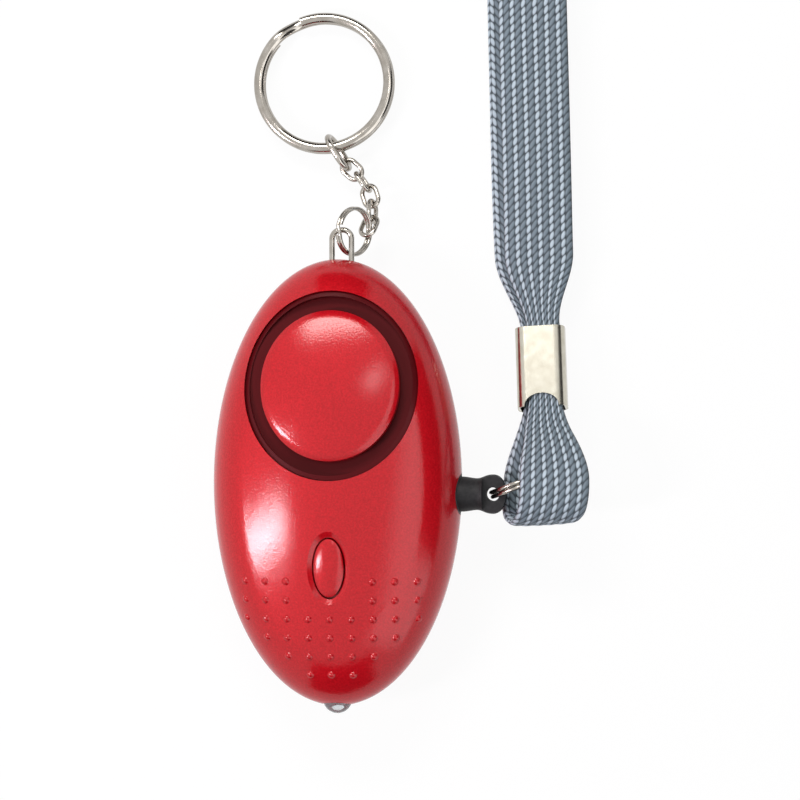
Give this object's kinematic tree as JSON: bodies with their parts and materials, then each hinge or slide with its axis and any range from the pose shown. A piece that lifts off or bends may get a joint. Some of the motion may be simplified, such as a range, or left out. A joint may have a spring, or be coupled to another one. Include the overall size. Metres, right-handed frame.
{
  "type": "personal safety alarm",
  "caption": "Red oval personal safety alarm with a siren, a light button, a lamp, a pull plug on a braided wrist strap and a split key ring on a short chain.",
  "frame": {"origin": "middle of the flat rest face on the back of the case", "axes": "+Z out of the front, +Y towards the key ring, +X towards the pull plug"},
  "size_m": [0.0643, 0.2173, 0.0225],
  "materials": {
    "red": "pearl gloss",
    "black": "matte",
    "dark": "gloss",
    "clear": "clear",
    "nickel": "polished",
    "brass": "satin",
    "steel": "satin",
    "braid": "woven",
    "board": "satin",
    "white": "matte"
  },
  "bodies": {
    "case": {"front_shell": "red", "rear_shell": "red", "speaker_cap": "red", "sound_ring": "dark", "siren_frame": "black", "siren_disc": "brass", "siren_ceramic": "white", "siren_leads": "black", "switch_body": "black", "circuit_board": "board", "step_up_coil": "black", "board_parts": "black", "lamp": "clear", "lamp_leads": "steel", "battery_cells": "steel", "battery_tray": "black", "battery_spring": "steel", "battery_plate": "steel", "case_screws": "steel", "pin_guide": "black", "fixed_leaf": "brass", "key_loop": "nickel"},
    "button": {"light_button": "red", "switch_plunger": "white"},
    "plug": {"pull_plug": "black"},
    "contact": {"moving_leaf": "brass"},
    "plug_link": {"plug_ring": "nickel"},
    "strap": {"wrist_strap": "braid", "strap_crimp": "nickel"},
    "small_ring": {"loop_ring": "nickel"},
    "link_one": {"chain_link_1": "nickel"},
    "link_two": {"chain_link_2": "nickel"},
    "link_three": {"chain_link_3": "nickel"},
    "link_four": {"chain_link_4": "nickel"},
    "link_five": {"chain_link_5": "nickel"},
    "hook": {"hook_link": "nickel"},
    "key_ring": {"split_ring": "nickel"}
  },
  "joints": [
    {"name": "button_press", "type": "slide", "parent": "case", "child": "button", "axis": [0, 0, -1], "range_m": [0, 0.0003], "stiffness_N_per_m": 600},
    {"name": "plug_pull", "type": "slide", "parent": "case", "child": "plug", "axis": [1, 0, 0], "range_m": [0, 0.018]},
    {"name": "contact_close", "type": "hinge", "parent": "case", "child": "contact", "pos_m": [0.0126, -0.0002, 0.0091], "axis": [1, 0, 0], "range_deg": [0, 5.4]},
    {"name": "plug_ring_turn", "type": "hinge", "parent": "plug", "child": "plug_link", "pos_m": [0.0263, -0.0019, 0.011], "axis": [0, 0, 1], "range_deg": [-25, 0]},
    {"name": "strap_lift", "type": "hinge", "parent": "plug_link", "child": "strap", "pos_m": [0.0317, -0.0003, 0.0084], "axis": [0.9983, 0.0576, 0], "range_deg": [0, 12]},
    {"name": "small_ring_swing", "type": "hinge", "parent": "case", "child": "small_ring", "pos_m": [0.0007, 0.04242, 0.011], "axis": [1, 0, 0], "range_deg": [-3, 3]},
    {"name": "link_one_swing", "type": "hinge", "parent": "small_ring", "child": "link_one", "pos_m": [0.00462, 0.04206, 0.00579], "axis": [0.0872, 0.9962, 0], "range_deg": [-6, 6]},
    {"name": "link_two_swing", "type": "hinge", "parent": "link_one", "child": "link_two", "pos_m": [0.00512, 0.0449, 0.00485], "axis": [0.9175, -0.0803, 0.3896], "range_deg": [-6, 6]},
    {"name": "link_three_swing", "type": "hinge", "parent": "link_two", "child": "link_three", "pos_m": [0.00495, 0.04759, 0.0037], "axis": [0.3335, -0.3786, -0.8634], "range_deg": [-6, 6]},
    {"name": "link_four_swing", "type": "hinge", "parent": "link_three", "child": "link_four", "pos_m": [0.00385, 0.0502, 0.00296], "axis": [-0.9051, -0.3847, -0.181], "range_deg": [-6, 6]},
    {"name": "link_five_swing", "type": "hinge", "parent": "link_four", "child": "link_five", "pos_m": [0.00205, 0.05248, 0.00262], "axis": [-0.2047, 0.0213, 0.9786], "range_deg": [-6, 6]},
    {"name": "hook_swing", "type": "hinge", "parent": "link_five", "child": "hook", "pos_m": [-0.00021, 0.05431, 0.00256], "axis": [0.6482, 0.752, 0.1192], "range_deg": [-3, 3]},
    {"name": "key_ring_swing", "type": "hinge", "parent": "hook", "child": "key_ring", "pos_m": [-0.00276, 0.05864, 0.00288], "axis": [0.1058, 0.0661, -0.9922], "range_deg": [-6, 6]}
  ],
  "couplings": [
    {"joint": "contact_close", "follows": "plug_pull", "rad_per_m": 5.2}
  ]
}
